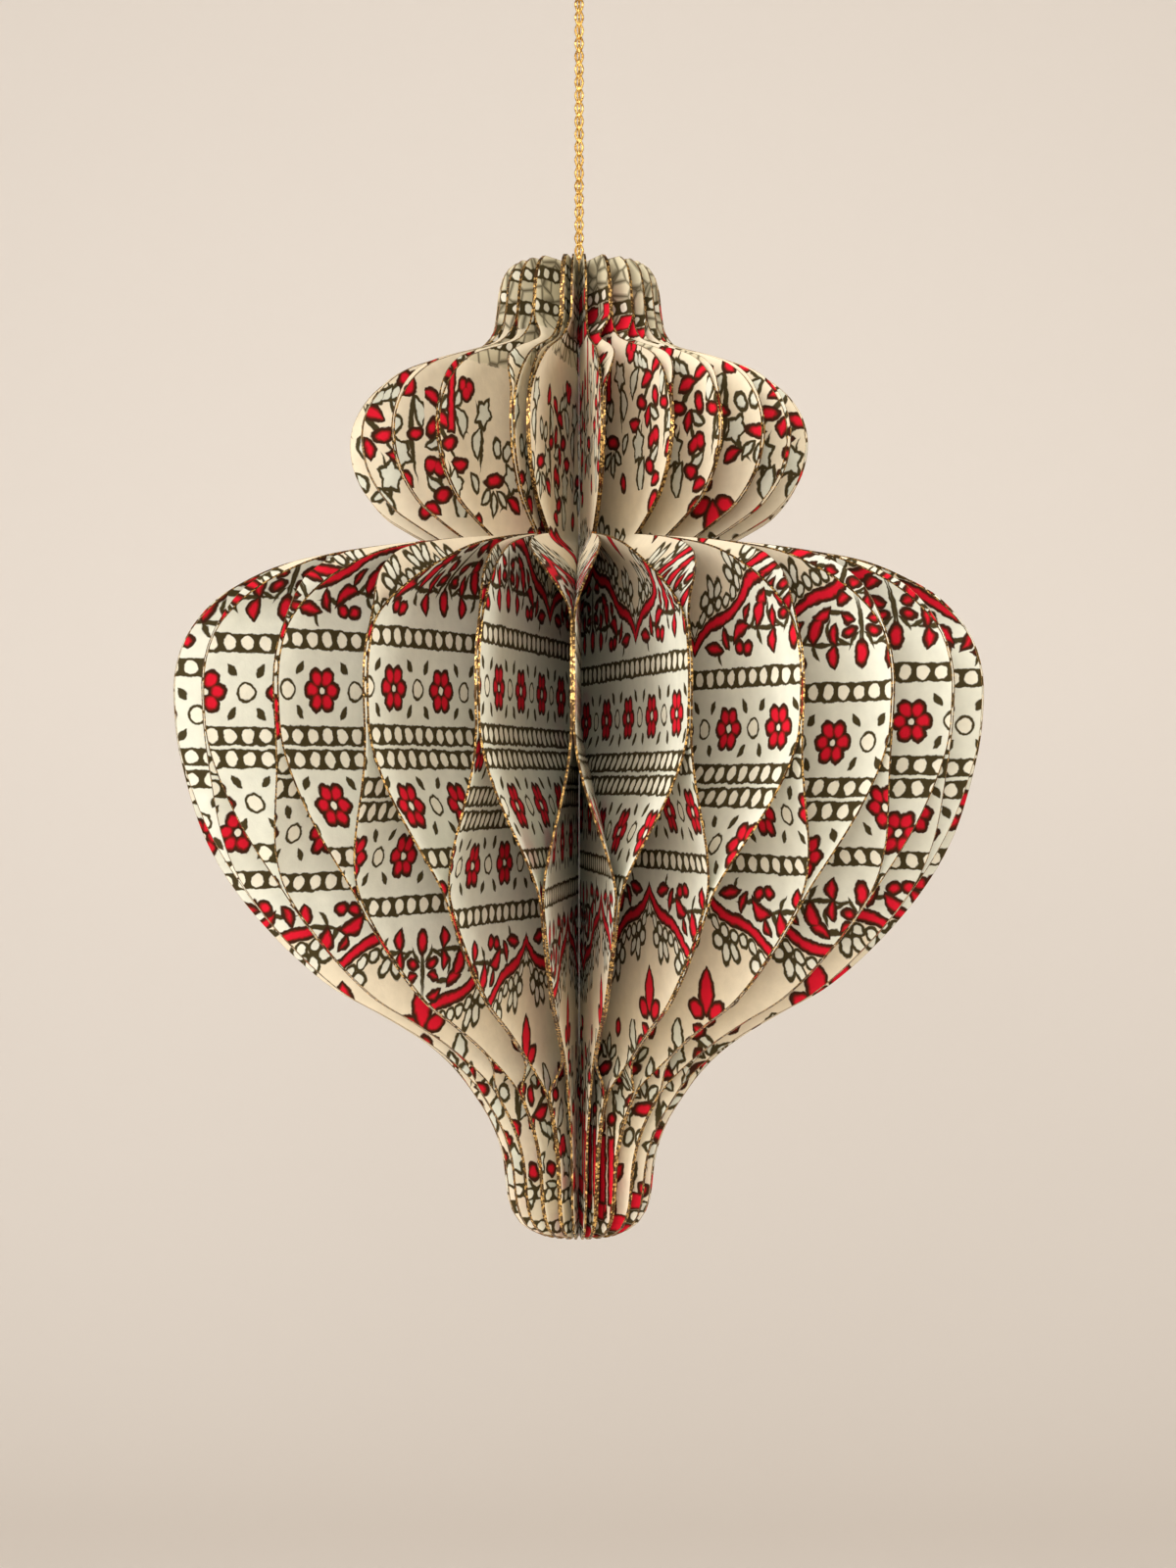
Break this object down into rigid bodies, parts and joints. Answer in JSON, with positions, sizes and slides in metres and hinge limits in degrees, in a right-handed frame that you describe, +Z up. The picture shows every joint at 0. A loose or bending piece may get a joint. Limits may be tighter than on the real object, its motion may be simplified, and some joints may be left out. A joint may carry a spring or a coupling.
{
  "type": "honeycomb paper ornament",
  "caption": "Hanging ornament of printed paper leaves that open like a honeycomb into a bulb, a waist, a lobe and a flared neck, on a thin gold cord with a loop.",
  "frame": {"origin": "inside of the top of the hanging loop, on the ornament's axis", "axes": "+Z up along the cord and the ornament's axis, front along -Y, the seam of the leaves at the front"},
  "size_m": [0.1256, 0.1256, 0.2367],
  "materials": {
    "printed_paper": "matt printed card with gilded cut edges",
    "gold_cord": "knitted metallic thread"
  },
  "bodies": {
    "root": {"leaf_01": "printed_paper", "leaf_02": "printed_paper", "leaf_03": "printed_paper", "leaf_04": "printed_paper", "leaf_05": "printed_paper", "leaf_06": "printed_paper", "leaf_07": "printed_paper", "leaf_08": "printed_paper", "leaf_09": "printed_paper", "leaf_10": "printed_paper", "leaf_11": "printed_paper", "leaf_12": "printed_paper", "leaf_13": "printed_paper", "leaf_14": "printed_paper", "leaf_15": "printed_paper", "leaf_16": "printed_paper", "leaf_17": "printed_paper", "leaf_18": "printed_paper", "leaf_19": "printed_paper", "leaf_20": "printed_paper", "leaf_21": "printed_paper", "leaf_22": "printed_paper", "leaf_23": "printed_paper", "leaf_24": "printed_paper", "leaf_25": "printed_paper", "leaf_26": "printed_paper", "leaf_27": "printed_paper", "leaf_28": "printed_paper", "leaf_29": "printed_paper", "leaf_30": "printed_paper", "leaf_31": "printed_paper", "leaf_32": "printed_paper", "leaf_33": "printed_paper", "leaf_34": "printed_paper", "leaf_35": "printed_paper", "leaf_36": "printed_paper", "leaf_37": "printed_paper", "leaf_38": "printed_paper", "leaf_39": "printed_paper", "leaf_40": "printed_paper", "leaf_41": "printed_paper", "leaf_42": "printed_paper", "leaf_43": "printed_paper", "leaf_44": "printed_paper", "leaf_45": "printed_paper", "leaf_46": "printed_paper", "leaf_47": "printed_paper", "leaf_48": "printed_paper", "anchor_knot": "gold_cord", "loop_knot": "gold_cord", "hanging_cord": "gold_cord", "cord_loop": "gold_cord"}
  },
  "joints": []
}
